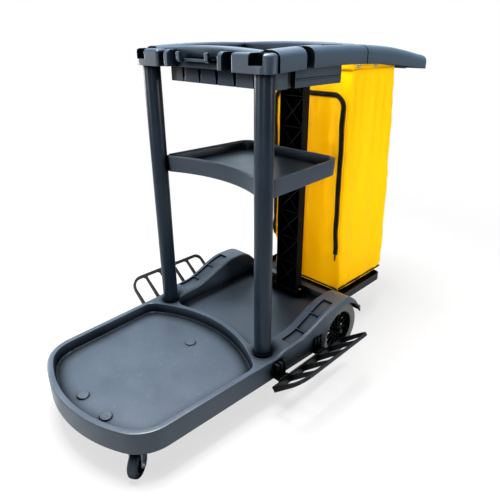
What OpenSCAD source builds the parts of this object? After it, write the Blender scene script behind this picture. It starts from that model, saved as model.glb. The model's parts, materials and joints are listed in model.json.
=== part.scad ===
// Housekeeping cart: a moulded platform on two large wheels and two swivel casters, two posts and
// a ribbed column that carry a shelf and a top bin, a push handle with a vinyl bag behind, and a
// folding rack on each side. Millimetres, +Z up, front towards -Y, origin at the middle of the floor
// area the cart covers.

/* [Platform] */
// Half width of the platform at the front posts
base_half = 273; // [240:1:320]
// Widening of each side towards the rear, as millimetres per metre of length
base_flare = 50; // [0:5:80]
// Reach of the bowed front ahead of the posts
base_front = 508; // [420:2:620]
// Rear edge of the platform behind the posts
base_rear = 430; // [420:1:470]
// Height of the lower edge of the skirt
skirt_z = 100; // [90:1:115]
// Height of the platform rim
rim_z = 165; // [150:1:190]
// Depth of both platform trays below the rim
tray_depth = 34; // [20:1:40]
// Wall thickness of the platform moulding
base_wall = 5; // [3:0.5:7]
// Radius of the front bow
bow_r = 426; // [400:1:700]
// Radius of the front corners
corner_r = 111; // [80:1:130]
// Width of the rim round the front tray
rim_w = 17; // [12:1:24]

/* [Fenders] */
// Inner face of each fender, which is also the side of the rear deck
fender_in = 205; // [195:1:215]
// Height of the fender above the hub
fender_rise = 130; // [120:1:140]
// Radial gap between the wheel and its arch
arch_gap = 6; // [4:1:20]
// Width of the channel on top of the fender
channel_w = 36; // [16:1:40]
// Depth of the channel on top of the fender
channel_depth = 6; // [4:1:16]

/* [Rear wheels] */
// Radius of the rear wheels over the tyre
wheel_r = 100; // [90:1:104]
// Width of the tyre
tyre_w = 38; // [30:1:42]
// Radial thickness of the tyre
tyre_t = 30; // [18:1:34]
// Distance of the axle behind the posts
hub_y = 334; // [300:1:340]
// Diameter of the axle
axle_d = 12; // [10:1:18]
// Number of curved spokes
spokes = 12; // [6:1:14]

/* [Casters] */
// Diameter of the caster wheels
caster_d = 75; // [65:1:80]
// Width of the caster wheels
caster_w = 25; // [20:1:30]
// Trail of the caster wheels behind the swivel axis
caster_trail = 31; // [24:1:36]
// Swivel axis from the centre plane
swivel_x = 174; // [160:1:184]
// Swivel axis ahead of the posts
swivel_y = 401; // [380:1:420]
// Direction in which both casters trail, measured from straight ahead towards the right
trail_turn = 33; // [0:1:90]

/* [Posts and column] */
// Outer diameter of the front posts
post_d = 50; // [40:1:56]
// Wall thickness of the front posts
post_wall = 4; // [2:0.5:6]
// Distance of each post from the centre plane
post_x = 222; // [210:1:226]
// Width of the rear column
column_w = 98; // [80:1:120]
// Depth of the rear column
column_depth = 28; // [24:1:30]
// Wall thickness of the rear column
column_wall = 4; // [3:0.5:5]
// Number of braced bays up the column
bays = 8; // [5:1:10]

/* [Shelf] */
// Height of the shelf rim
shelf_z = 679; // [560:1:740]
// Height of the shelf side
shelf_h = 49; // [36:1:60]
// Half width of the shelf at the posts
shelf_half = 218; // [212:1:222]
// Width of the raised rim round the shelf
shelf_rim = 12; // [9:1:24]
// Depth of the shelf tray
shelf_depth = 30; // [10:1:34]

/* [Top] */
// Underside of the top frame at the front posts
head_z = 941; // [880:1:990]
// Height of the front beam
beam_h = 44; // [38:1:56]
// Half width over the side rails
head_half = 260; // [255:1:270]
// Width of a side rail
rail_w = 58; // [44:1:60]
// Height of a side rail at its crown
rail_h = 49; // [42:1:58]
// Rise of the underside of the rails at the middle of the top
arch_rise = 8; // [0:1:14]
// Joint between the side rails and the push handle, behind the posts
seam_y = 368; // [366:1:390]
// Rear edge of the push handle, behind the posts
handle_rear = 745; // [740:1:800]
// Thickness of the push grip
grip_w = 36; // [30:1:44]
// Height of the bin below the underside of the top
bin_drop = 44; // [20:1:80]
// Width of the tool slots in the beam and the rails
slot_w = 30; // [22:1:34]

/* [Bag] */
// Half width of the mouth of the bag
bag_half = 162; // [140:1:170]
// Front of the bag behind the posts
bag_y = 450; // [440:1:470]
// Length of the mouth of the bag from front to rear
bag_l = 254; // [200:1:258]
// Extra length of the bag at its bottom
bag_flare = 41; // [0:1:46]
// Widening of each side of the bag at its bottom
bag_spread = 14; // [0:1:20]
// Underside of the bag
bag_z = 168; // [168:1:260]
// Height of the mouth of the bag above the underside of the top
bag_rise = 4; // [-40:1:9]

/* [Side racks] */
// Length of a side rack
rack_l = 332; // [280:1:340]
// Reach of a side rack from its hinge
rack_reach = 138; // [110:1:160]
// Depth of a rack at its hinge
rack_t = 18; // [14:1:22]
// Depth of a rack at its outer bar
rack_tip_t = 8; // [6:1:12]
// Thickness of a rack slat
slat_t = 7; // [5:0.5:10]
// Number of slats between the two ends
slats = 4; // [2:1:6]
// Tilt of an open rack above the floor
rack_tilt = 37; // [20:1:50]

/* [Hidden] */

$fn = 48;
fit = 0.3;                 // gap between moving or separately seated pieces
snug = 0.1;                // gap of a peg in its socket
mid_y = (handle_rear - base_front) / 2;

slate = "#4d545f";
slate_dark = "#3b4149";
black = "#1b1c1e";
tyre_grey = "#6f6d69";
zinc = "#b4b6b5";
vinyl = "#f8bd10";

// ---- general shapes ----
module place() translate([0, -mid_y, 0]) children();
module both_sides() {
  children();
  mirror([1, 0, 0]) children();
}

function arc(c, r, a0, a1, n) =
  [for (i = [0:n]) let (a = a0 + (a1 - a0) * i / n) [c[0] + r * cos(a), c[1] + r * sin(a)]];
function at_height(pts, z) = [for (p = pts) [p[0], p[1], z]];
function reversed(v) = [for (i = [len(v) - 1:-1:0]) v[i]];
function smooth(t) = let (c = min(max(t, 0), 1)) c * c * (3 - 2 * c);

// Solid through rings of equal count, each anticlockwise seen from the end that is listed last.
module loft(rings) {
  n = len(rings[0]);
  m = len(rings);
  walls = [for (j = [0:m - 2]) for (i = [0:n - 1]) let (k = (i + 1) % n, a = j * n, b = a + n)
    each [[a + i, b + i, b + k], [a + i, b + k, a + k]]];
  first_cap = [for (i = [1:n - 2]) [0, i, i + 1]];
  last_cap = [for (i = [1:n - 2]) [(m - 1) * n, (m - 1) * n + i + 1, (m - 1) * n + i]];
  polyhedron([for (r = rings) each r], concat(walls, first_cap, last_cap));
}

// Channel through rings whose first half is the outer skin and whose second half runs back inside.
module channel_loft(rings) {
  n = len(rings[0]);
  m = len(rings);
  walls = [for (j = [0:m - 2]) for (i = [0:n - 1]) let (k = (i + 1) % n, a = j * n, b = a + n)
    each [[a + i, b + i, b + k], [a + i, b + k, a + k]]];
  first_cap = [for (i = [0:n / 2 - 2]) let (j = n - 1 - i) each [[i, i + 1, j - 1], [i, j - 1, j]]];
  last = (m - 1) * n;
  last_cap = [for (f = first_cap) [last + f[0], last + f[2], last + f[1]]];
  polyhedron([for (r = rings) each r], concat(walls, first_cap, last_cap));
}

module along_x(length) rotate([90, 0, 90]) linear_extrude(length) children();
module along_y(length) rotate([90, 0, 0]) translate([0, 0, -length]) linear_extrude(length) children();
module tube(d, wall, h) difference() {
  cylinder(d = d, h = h);
  translate([0, 0, -1]) cylinder(d = d - 2 * wall, h = h + 2);
}
module hex_bolt(d, head, length) {
  cylinder(r = d, h = head, $fn = 6);
  translate([0, 0, -length]) cylinder(d = d, h = length);
}

// ---- platform outline ----
flare_a = atan(base_flare / 1000);
bow_c = [0, bow_r - base_front];
corner_k = base_half - corner_r / cos(flare_a);
corner_b = corner_k * tan(flare_a) - bow_c[1];
corner_q = 1 + pow(tan(flare_a), 2);
corner_y = (-corner_b - sqrt(corner_b * corner_b
  - corner_q * (corner_k * corner_k + bow_c[1] * bow_c[1] - pow(bow_r - corner_r, 2)))) / corner_q;
corner_c = [corner_k + corner_y * tan(flare_a), corner_y];
corner_end = atan2(corner_c[1] - bow_c[1], corner_c[0]);
function side_x(y) = base_half + tan(flare_a) * min(y, flare_end);
flare_end = hub_y - wheel_r - arch_gap;

function front_half(e) = concat(
  arc(bow_c, bow_r - e, -90, corner_end, 9),
  [for (i = [1:9]) arc(corner_c, corner_r - e, corner_end, -flare_a, 9)[i]]);
function base_outline(e, rear) = let (
  h = front_half(e), x = side_x(min(rear, flare_end)) - e,
  half = concat(h, [[side_x(flare_end) - e, flare_end], [x + 0.01, rear]]))
  concat(half, [for (i = [len(half) - 1:-1:1]) [-half[i][0], half[i][1]]]);

// Front tray: a D whose rear wall bows towards the rear
d_back_r = 430;
d_back_y = 15;
d_fillet = 42;
d_side = base_half - rim_w;
d_back_c = [0, d_back_y - d_back_r];
d_fillet_x = d_side - d_fillet - 4;
d_fillet_c = [d_fillet_x, d_back_c[1] + sqrt(pow(d_back_r - d_fillet, 2) - d_fillet_x * d_fillet_x)];
d_fillet_a = atan2(d_fillet_c[1] - d_back_c[1], d_fillet_x);
function d_outline(e) = let (half = concat(front_half(rim_w + e),
  arc(d_fillet_c, d_fillet - e, -flare_a, d_fillet_a, 7),
  [for (i = [1:9]) arc(d_back_c, d_back_r - e, d_fillet_a, 90, 9)[i]]))
  concat(half, [for (i = [len(half) - 2:-1:1]) [-half[i][0], half[i][1]]]);

// Rear deck: behind a narrow strip that follows the D
strip_w = 14;
deck_rear = base_rear - 28;
deck_fillet = 42;
deck_front_r = d_back_r + strip_w;
deck_c_x = fender_in - deck_fillet;
deck_c = [deck_c_x, d_back_c[1] + sqrt(pow(deck_front_r + deck_fillet, 2) - deck_c_x * deck_c_x)];
deck_a = atan2(deck_c[1] - d_back_c[1], deck_c_x);
deck_rear_r = 20;
function deck_outline(e) = let (half = concat(
  arc([fender_in - deck_rear_r, deck_rear - deck_rear_r], deck_rear_r - e, 90, 0, 4),
  arc(deck_c, deck_fillet - e, 0, deck_a - 180, 7),
  [for (i = [1:7]) arc(d_back_c, deck_front_r + e, deck_a, 90, 7)[i]]))
  [for (i = [len(half) * 2 - 2:-1:0]) i < len(half) ? half[i]
    : [-half[2 * len(half) - 2 - i][0], half[2 * len(half) - 2 - i][1]]];

tray_z = rim_z - tray_depth;
edge_r = 4;

// ---- fender profile ----
arch_r = wheel_r + arch_gap;
fender_top_z = wheel_r + fender_rise;
shoulder_z = rim_z + 14;
function fender_z(y) = rim_z + (shoulder_z - rim_z) * smooth((y - 5) / 60)
  + (fender_top_z - shoulder_z) * smooth((y - 100) / (hub_y - 146));
tail_a = 22;
roof_a = 42;
lip_w = 8;
tail_t = 4;
tail_r = arch_r + tail_t;
function crown_r(a) =
  tail_r + (fender_rise - tail_r) * pow(smooth((a - tail_a) / (90 - tail_a)), 1.5);
fender_line = concat(
  [for (y = [5:hub_y / 22:hub_y - 8]) [y, fender_z(y)]],
  [for (i = [0:8]) let (a = 90 + (tail_a - 90) * i / 8)
    [hub_y + crown_r(a) * cos(a), wheel_r + crown_r(a) * sin(a)]]);
well_in = fender_in + 8;

function fender_ring(p, e) = let (y = p[0], z = p[1] - e, a = fender_in + e,
  b = side_x(y) - e, r = 7)
  [[a, skirt_z - e], [b, skirt_z - e], [b, z - r], [b - 0.9, z - 3.5], [b - 3.2, z - 1], [b - r, z],
   [a + r, z], [a + 3.2, z - 1], [a + 0.9, z - 3.5], [a, z - r]];

module fender() difference() {
  loft([for (p = fender_line) reversed([for (q = fender_ring(p, 0)) [q[0], p[0], q[1]]])]);
  translate([fender_in - 1, hub_y, 0])
    cube([110, 200, wheel_r + arch_r * sin(tail_a)]);
  // the roof ends higher than the narrow lip along its outer edge
  translate([fender_in - 1, hub_y, 0])
    cube([side_x(hub_y) - lip_w - fender_in + 1, 200, wheel_r + arch_r * sin(roof_a)]);
}

channel_start = 72;
channel_end = hub_y - 50;
channel_mid = (fender_in + base_half) / 2 + 11;
module channel_cut() {
  third = (channel_end - channel_start) / 3;
  rib = 1.6;
  for (i = [0:2]) intersection() {
    translate([channel_mid - channel_w / 2, channel_start + i * third, 0])
      linear_extrude(rim_z * 2) square([channel_w, third - rib]);
    translate([channel_mid - channel_w, 0, 0]) along_x(channel_w * 2) polygon(concat(
      [for (y = [channel_start - 4:11:channel_end + 11]) [y, fender_z(y) - channel_depth]],
      [[channel_end + 11, rim_z * 2], [channel_start - 4, rim_z * 2]]));
  }
}

// ---- platform ----
module base_shell() {
  e = edge_r;
  loft([for (s = [[0, skirt_z], [0, rim_z - e], [0.3 * e, rim_z - 0.3 * e], [e, rim_z]])
    at_height(base_outline(s[0], base_rear), s[1])]);
}
module tray_recess() loft([for (s = [[7, tray_z], [3, tray_z + 2], [1.5, tray_z + 7], [0, rim_z - 3],
    [-1, rim_z - 0.9], [-3.5, rim_z + 0.2]]) at_height(d_outline(s[0]), s[1])]);
module deck_recess() loft([for (s = [[6, tray_z], [2, tray_z + 2], [0.5, tray_z + 6], [0, rim_z - 3],
    [0, rim_z * 2]]) at_height(deck_outline(s[0]), s[1])]);
module caster_boss() translate([swivel_x, -swivel_y, skirt_z + 4])
  cylinder(d = 62, h = tray_z - skirt_z - 6);

rib_t = 3;
rib_gap = 92;
rib_z = skirt_z + 8;
axle_block_x = fender_in - 24;
axle_block_w = 18;
axle_block_l = 52;
module base_platform() place() color(slate) {
  floor_z = tray_z - base_wall;
  difference() {
    union() {
      base_shell();
      both_sides() fender();
    }
    tray_recess();
    deck_recess();
    // underside, open to the floor
    translate([0, 0, skirt_z - 1]) linear_extrude(floor_z - skirt_z + 1)
      polygon(base_outline(base_wall, base_rear - base_wall));
    both_sides() {
      // hollow of the fender ahead of the wheel
      translate([fender_in + base_wall, 30, floor_z - 1])
        cube([side_x(30) - fender_in - 2 * base_wall, flare_end - 38, rim_z - floor_z - 3]);
      translate([well_in, hub_y, wheel_r]) rotate([0, 90, 0]) cylinder(r = arch_r, h = 120, $fn = 96);
      translate([well_in, hub_y - arch_r, skirt_z - 2]) cube([120, 2 * arch_r, 2]);
      channel_cut();
      translate([post_x, 0, floor_z]) cylinder(d = post_d + 2 * snug, h = 60);
      translate([post_x, 0, rim_z]) cylinder(d = collar_d + 2 * snug, h = 20);
      // mouth of the axle slot in the skirt-side wall
      translate([fender_in - 6, hub_y, wheel_r]) rotate([0, 90, 0]) cylinder(d = axle_d + 6, h = 30);
    }
    // seats of the plugs and of the column foot
    for (p = plugs) translate([p[0], p[1], tray_z - seat_depth]) cylinder(d = plug_d + 2 * snug, h = 20);
    translate([0, 0, tray_z - seat_depth]) linear_extrude(20) foot_outline(snug);
  }
  // ribs and bosses under the trays
  intersection() {
    translate([0, 0, skirt_z]) linear_extrude(floor_z - skirt_z + 1)
      polygon(base_outline(base_wall - 1, base_rear - base_wall + 1));
    union() {
      for (x = [-1.5:1.5]) translate([x * rib_gap - rib_t / 2, -base_front, rib_z])
        cube([rib_t, base_front + base_rear, floor_z + 1 - rib_z]);
      for (y = [-4:3]) translate([-well_in, (y + 0.5) * rib_gap - rib_t / 2, rib_z]) difference() {
        cube([2 * well_in, rib_t, floor_z + 1 - rib_z]);
        // the last rib stops at the axle brackets
        if (abs((y + 0.5) * rib_gap - hub_y) < axle_block_l / 2 + rib_t)
          for (x = [-1, well_in + axle_block_x - snug]) translate([x, -1, -1])
            cube([well_in - axle_block_x + snug + 1, rib_t + 2, floor_z - rib_z + 1]);
      }
    }
  }
  both_sides() {
    caster_boss();
    translate([post_x, 0, skirt_z + 6]) tube(post_d + 12, 6 - snug, floor_z - skirt_z - 5.5);
  }
}

plugs = [[-25, -444], [89, -442], [-6, -89]];
plug_d = 32;
seat_depth = 1.5;
module floor_plugs() place() color(slate)
  for (p = plugs) translate([p[0], p[1], tray_z - seat_depth]) {
    cylinder(d = plug_d, h = seat_depth + 2);
    translate([0, 0, seat_depth + 2]) cylinder(d1 = plug_d, d2 = plug_d - 4, h = 2);
  }

// ---- posts ----
module front_post() translate([post_x, 0, tray_z - base_wall])
  tube(post_d, post_wall, head_z - tray_z + base_wall);
module front_post_left() place() color(slate_dark) mirror([1, 0, 0]) front_post();
module front_post_right() place() color(slate_dark) front_post();
collar_wall = 3.5;
collar_d = post_d + 2 * (snug + collar_wall);
module post_collars() place() color(black) both_sides()
  translate([post_x, 0, rim_z]) tube(collar_d, collar_wall, 7);

// ---- arch of the top frame ----
arch_y = 240;
rail_in = head_half - rail_w;
function under_z(y) = head_z + arch_rise * (1 - pow((y - arch_y) / arch_y, 2));
function height_at(y) = rail_h - 7 * smooth((y - 500) / 250);

// ---- column ----
col_y = deck_rear - 8 - column_depth;
col_z = tray_z - seat_depth;
col_top = under_z(col_y + column_depth);
foot_half = column_w / 2 + 11;
bay_z = tray_z + 30;
bay_h = (col_top - bay_z - 6) / bays;
brace_t = 3;
module column_outline(e) translate([-column_w / 2 - e, col_y - e])
  square([column_w + 2 * e, column_depth + 2 * e]);
module brace() {
  w = column_w - 2 * column_wall;
  l = sqrt(w * w + bay_h * bay_h);
  translate([0, 0, bay_h / 2]) for (s = [-1, 1]) rotate([0, s * atan2(bay_h, w), 0])
    translate([-l / 2, 0, -brace_t / 2]) cube([l, column_depth - column_wall - 6, brace_t]);
}
module rear_column() place() color(black) {
  difference() {
    translate([0, 0, col_z]) linear_extrude(col_top - col_z) column_outline(0);
    translate([-column_w / 2 + column_wall, col_y - 1, col_z - 1])
      cube([column_w - 2 * column_wall, column_depth - column_wall + 1, col_top - col_z - 5]);
  }
  intersection() {
    translate([0, 0, col_z]) linear_extrude(col_top - col_z) column_outline(-1);
    for (i = [0:bays - 1]) translate([0, col_y + 6, bay_z + i * bay_h]) {
      brace();
      translate([-column_w / 2, 0, -brace_t / 2])
        cube([column_w, column_depth - column_wall - 6, brace_t]);
    }
  }
}
foot_h = 26;
foot_front = col_y - 8;
foot_bolt_d = 5;
foot_bolts = [for (s = [-1, 1]) [s * (column_w / 2 + 5.5), col_y + column_depth / 2]];
module foot_outline(e) translate([-foot_half - e, foot_front - e])
  square([2 * (foot_half + e), deck_rear - 7 - foot_front + 2 * e]);
module column_foot() place() color(black) difference() {
  translate([0, 0, col_z]) linear_extrude(foot_h + seat_depth) foot_outline(0);
  translate([0, 0, col_z - 1]) linear_extrude(foot_h + seat_depth + 2) column_outline(snug);
  for (p = foot_bolts) translate([p[0], p[1], col_z - 1])
    cylinder(d = foot_bolt_d + 2 * snug, h = foot_h + seat_depth + 2);
}
module column_bolts() place() color(zinc)
  for (p = foot_bolts) translate([p[0], p[1], tray_z + foot_h]) hex_bolt(foot_bolt_d, 3, foot_h - 0.5);

// ---- shelf ----
shelf_rear = col_y - snug;
shelf_rear_half = shelf_half - 16;
shelf_front_mid = 58;
shelf_arc_r = 420;
shelf_corner_r = 44;
function shelf_outline(e) = let (x0 = shelf_half - e, x1 = shelf_rear_half - e, r = shelf_corner_r,
  c = [x1 - r + e, shelf_rear - r], fc = [0, shelf_front_mid - shelf_arc_r],
  fa = acos((x0 - 30) / (shelf_arc_r + e)),
  corner = [x0 - 30, fc[1] + (shelf_arc_r + e) * sin(fa)],
  half = concat(arc(c, r - e, 90, 0, 6), [[x0, 40], [x0, 12 + e], corner],
    [for (i = [1:7]) arc(fc, shelf_arc_r + e, fa, 90, 7)[i]]))
  [for (i = [2 * len(half) - 2:-1:0]) i < len(half) ? half[i]
    : [-half[2 * len(half) - 2 - i][0], half[2 * len(half) - 2 - i][1]]];
module shelf_tray() place() color(slate) {
  floor_z = shelf_z - shelf_depth;
  low = shelf_z - shelf_h;
  w = 4;
  difference() {
    loft([for (s = [[2, low], [0, shelf_z - 4], [1.2, shelf_z - 1.2], [4, shelf_z]])
      at_height(shelf_outline(s[0]), s[1])]);
    loft([for (s = [[6, floor_z], [2, floor_z + 2], [0, shelf_z - 6], [-3, shelf_z - 5.5], [-6, shelf_z + 1]])
      at_height(shelf_outline(shelf_rim + s[0]), s[1])]);
    // underside: one well below the floor and a groove inside the raised rim
    translate([0, 0, low - 1]) linear_extrude(floor_z - low + 1 - w) polygon(shelf_outline(w + 2));
    // notch for each post, opening outwards between rounded ends
    both_sides() translate([post_x, 0, low - 1]) linear_extrude(shelf_h + 2) {
      circle(d = post_d + 2 * fit);
      mouth_cut();
    }
  }
}
mouth_gap = 4;
mouth_r = 8;
// A wider mouth at the outer side, so that each end of the skirt is rounded.
module mouth_cut() {
  half = post_d / 2 + mouth_gap;
  out = shelf_half - post_x;
  far = out + post_d / 2;
  for (s = [-1, 1]) scale([1, s]) polygon(concat([[out - mouth_r, 0]],
    arc([out - mouth_r, half + mouth_r], mouth_r, -90, 0, 6), [[far, half + mouth_r], [far, 0]]));
}
bracket_t = 5;
module shelf_bracket() place() color(black) {
  low = shelf_z - shelf_h;
  w = column_w - 10;
  translate([-w / 2, col_y - 40, low - bracket_t]) cube([w, 40, bracket_t]);
  translate([-w / 2, col_y - bracket_t, low - 38]) cube([w, bracket_t, 38]);
  for (x = [-w / 2, -bracket_t / 2, w / 2 - bracket_t]) translate([x, 0, 0]) along_x(bracket_t)
    polygon([[col_y - 36, low - 1], [col_y - 1, low - 1], [col_y - 1, low - 36], [col_y - 8, low - 36]]);
}

// ---- top ----
// Crown of a rail or grip: inner bottom, over the top, outer bottom, for width w and height h
function skin(w, h, e) = [[e, 0], [e, h - 10], [e + 1.5, h - 5 - e / 2], [e + 5, h - 1.8 - e],
  [e + 12, h - e], [w * 0.55, h - e], [w * 0.74, h - 1.8 - e], [w * 0.88 - e / 2, h - 6 - e],
  [w * 0.965 - e, h - 12 - e], [w - e, h - 20 - e / 2], [w - e, 0]];
function rail_ring(p, n, w, h, z, e) =
  [for (q = skin(w, h, e)) [p[0] + n[0] * q[0], p[1] + n[1] * q[0], z + q[1]]];

slot_y = 105;
rail_front = 8;
rail_groove = 2.6;
module side_rail() difference() {
  start = rail_front + rail_groove;
  loft([for (i = [0:12]) let (y = start + (seam_y - fit - start) * i / 12)
    rail_ring([rail_in, y], [1, 0], rail_w, height_at(y), under_z(y), 0)]);
  translate([rail_in + 22, slot_y, head_z - 10]) cube([rail_w, slot_w, 90]);
  // pockets under the rail either side of the slot
  translate([rail_in + 5, rail_front + 6, head_z - 10])
    cube([rail_w - 10, slot_y - rail_front - 12, 34]);
  translate([rail_in + 5, slot_y + slot_w + 6, head_z - 10])
    cube([rail_w - 10, seam_y - slot_y - slot_w - 12, 40]);
  // shallow pocket in the crown
  translate([rail_in + 14, 190, under_z(240) + rail_h - 6]) cube([22, 90, 20]);
}
module side_rail_left() place() color(slate) mirror([1, 0, 0]) side_rail();
module side_rail_right() place() color(slate) side_rail();

bar_y = 50;
bar_bulge = 8;
block_front = 35;
slot_in = 113;
slot_out = slot_in + slot_w;
beam_z = head_z + beam_h;
function bar_section(x, y0, y1, low, top) = [[x, y0, low], [x, y1, low], [x, y1, top - 9],
  [x, y1 - 1.5, top - 4.5], [x, y1 - 5, top - 1.5], [x, y1 - 11, top], [x, y0 + 11, top],
  [x, y0 + 5, top - 1.5], [x, y0 + 1.5, top - 4.5], [x, y0, top - 9]];
module beam_bar() loft([for (i = [0:16]) let (x = -rail_in + fit + (2 * rail_in - 2 * fit) * i / 16)
  bar_section(x, 0, bar_y, head_z, beam_z + 2 + bar_bulge * (1 - pow(x / rail_in, 2)))]);
function box_pts(x0, x1, y0, y1, r) = concat(
  arc([x0 + r[0], y0 + r[0]], r[0], 180, 270, 5), arc([x1 - r[1], y0 + r[1]], r[1], 270, 360, 5),
  arc([x1 - r[2], y1 - r[2]], r[2], 0, 90, 5), arc([x0 + r[3], y1 - r[3]], r[3], 90, 180, 5));
function crowned(x0, x1, y0, y1, r, e) =
  box_pts(x0 + e, x1 - e, y0 + e, y1 - e, [for (q = r) max(q - e, 0.4)]);
module corner_block() difference() {
  loft([for (s = [[0, head_z], [0, beam_z - 9], [1.3, beam_z - 4.5], [4.5, beam_z - 1.3], [9, beam_z]])
    at_height(crowned(slot_out, head_half, -block_front, rail_front, [9, 30, 9.5, 9], s[0]), s[1])]);
  // stepped notch beside the corner pillar
  translate([post_x - 19, -block_front - 1, beam_z - 27]) cube([41, block_front - 2, 40]);
  translate([slot_out + 6, -block_front + 6, head_z - 1])
    cube([post_x - 25 - slot_out - 12, block_front + rail_front - 12, 32]);
}
module flange_profile() {
  translate([-block_front, head_z + 2]) square([block_front + 1, beam_h - 16]);
  translate([-block_front + 14, head_z + 2]) square([block_front - 13, beam_h - 2]);
  translate([-block_front + 14, beam_z - 14]) circle(14);
}
prong_x = 56;
prong_z = head_z + 16;
module prong_profile() {
  translate([-26, prong_z]) square([27, 7]);
  translate([-26, prong_z + 7]) circle(7);
  translate([-33, prong_z + 7]) square([7, 14]);
  translate([-29.5, prong_z + 21]) circle(3.5);
}
module front_beam() place() color(slate) {
  beam_bar();
  both_sides() {
    corner_block();
    // web that carries the block from the bar
    translate([slot_out, 0, head_z]) cube([rail_in - fit - slot_out, bar_y - 1, beam_h - 10]);
    translate([slot_in - 14, 0, 0]) along_x(14) flange_profile();
    translate([prong_x - 6, 0, 0]) along_x(12) prong_profile();
  }
  // ledge between the prongs
  translate([-prong_x, -20, prong_z + 1]) cube([2 * prong_x, 21, 6]);
}
cross_y = col_y - 10;
cross_end = col_y + column_depth + 4;
module rear_crossbar() place() color(slate) {
  loft([for (i = [0:14]) let (x = -rail_in + fit + (2 * rail_in - 2 * fit) * i / 14,
    t = under_z(cross_y) + rail_h + 5 * (1 - pow(x / rail_in, 2)))
    bar_section(x, cross_y, cross_end, col_top, t)]);
}

bin_front = bar_y + fit;
bin_rear = cross_y - 10;
bin_half = rail_in - fit;
bin_low = head_z - bin_drop;
bin_top = head_z + 16;
bin_floor = bin_low + 4;
flutes = 5;
flute_pitch = 70;
module top_bin() place() color(slate) {
  difference() {
    translate([0, 0, bin_low]) linear_extrude(bin_top - bin_low)
      polygon(box_pts(-bin_half, bin_half, bin_front, bin_rear, [6, 6, 16, 16]));
    translate([0, 0, bin_floor]) linear_extrude(bin_top) difference() {
      polygon(box_pts(-bin_half + 4, bin_half - 4, bin_front + 13, bin_rear - 4, [5, 5, 12, 12]));
      both_sides() translate([bin_half - 15, slot_y - 4]) square([20, slot_w + 8]);
    }
    for (i = [0:flutes - 1]) translate([(i - (flutes - 1) / 2) * flute_pitch, bin_front - 1, bin_low - 1])
      rotate([90, 0, 0]) mirror([0, 0, 1]) linear_extrude(9)
        polygon([[-3, 0], [3, 0], [8, bin_drop], [-8, bin_drop]]);
    both_sides() translate([bin_half - 11, slot_y, bin_low - 1]) cube([20, slot_w, 90]);
  }
  // ledge along each side behind the slot
  both_sides() translate([bin_half - 0.5, slot_y + slot_w + 6, bin_low + 18])
    cube([2, bin_rear - slot_y - slot_w - 26, 3]);
  // flange that drops into the ring of the top frame
  translate([0, 0, bin_top]) linear_extrude(3) difference() {
    polygon(box_pts(-bin_half, bin_half, bin_front, cross_y - fit, [6, 6, 3, 3]));
    polygon(box_pts(-bin_half + 8, bin_half - 8, bin_front + 13, bin_rear - 8, [5, 5, 12, 12]));
  }
}

// ---- push handle ----
handle_wall = 4;
turn_r = 12;
grip_in = handle_rear - grip_w;
turn_c = [rail_in - turn_r, grip_in - turn_r];
function handle_ring(p, n, w) = let (y = p[1] + n[1] * w / 2, z = under_z(y), h = height_at(y))
  concat(rail_ring(p, n, w, h, z, 0), reversed(rail_ring(p, n, w, h, z, handle_wall)));
corner_out_r = 26;
corner_out_c = [head_half - corner_out_r, handle_rear - corner_out_r];
function corner_ring(a) = let (d = [cos(a), sin(a)], p = turn_c + turn_r * d,
  q = corner_out_c + corner_out_r * d) handle_ring(p, (q - p) / norm(q - p), norm(q - p));
half_handle = concat(
  [for (i = [0:10]) let (y = seam_y + fit + (turn_c[1] - seam_y - fit) * i / 10)
    handle_ring([rail_in, y], [1, 0], rail_w)],
  [for (a = [0:11.25:90]) corner_ring(a)]);
function flipped(ring) = [for (q = ring) [-q[0], q[1], q[2]]];
module push_handle() place() color(slate) {
  channel_loft(concat(half_handle, [for (i = [len(half_handle) - 1:-1:0]) flipped(half_handle[i])]));
  // ribs that stiffen the open underside of each arm
  both_sides() for (y = [seam_y + 40:60:turn_c[1]])
    translate([rail_in + 2, y, under_z(y) + 6]) cube([rail_w - 4, 3, height_at(y) - 28]);
}

// ---- bag ----
bag_wall = 3;
bag_r = 14;
grommet_d = 9;
bag_top = head_z + bag_rise;
grommet_z = bag_top - 12;
hook_ys = [bag_y + 30, bag_y + bag_l / 2, bag_y + bag_l - 34];
function bag_outline(e, half, rear) = box_pts(e - half, half - e, bag_y + e, rear - e,
  [for (i = [1:4]) bag_r - e]);
module bag_solid(e, z0, z1) loft([
  at_height(bag_outline(e, bag_half + bag_spread, bag_y + bag_l + bag_flare), z0),
  at_height(bag_outline(e, bag_half, bag_y + bag_l), z1)]);
module vinyl_bag() place() color(vinyl) difference() {
  bag_solid(0, bag_z, bag_top);
  bag_solid(bag_wall, bag_z + bag_wall, bag_top + 0.5);
  for (y = hook_ys) translate([-bag_half - 20, y, grommet_z]) rotate([0, 90, 0])
    cylinder(d = grommet_d, h = 2 * bag_half + 40);
}
hook_d = 4;
hook_out = bag_half + 8;
hook_in = bag_half - 12;
hook_z = grommet_z + (grommet_d - hook_d) / 2 - snug;
hook_rise = 14;
hook_tip = 8;
module bag_hook() {
  translate([rail_in, 0, hook_z + hook_rise]) rotate([0, -90, 0])
    cylinder(d = hook_d, h = rail_in - hook_out);
  translate([hook_out, 0, hook_z]) cylinder(d = hook_d, h = hook_rise);
  translate([hook_in, 0, hook_z]) rotate([0, 90, 0]) cylinder(d = hook_d, h = hook_out - hook_in);
  translate([hook_in, 0, hook_z]) cylinder(d = hook_d, h = hook_tip);
  for (p = [[hook_out, hook_rise], [hook_out, 0], [hook_in, 0]])
    translate([p[0], 0, hook_z + p[1]]) sphere(d = hook_d, $fn = 24);
}
module bag_hooks() place() color(zinc) both_sides() for (y = hook_ys) translate([0, y, 0]) bag_hook();

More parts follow.
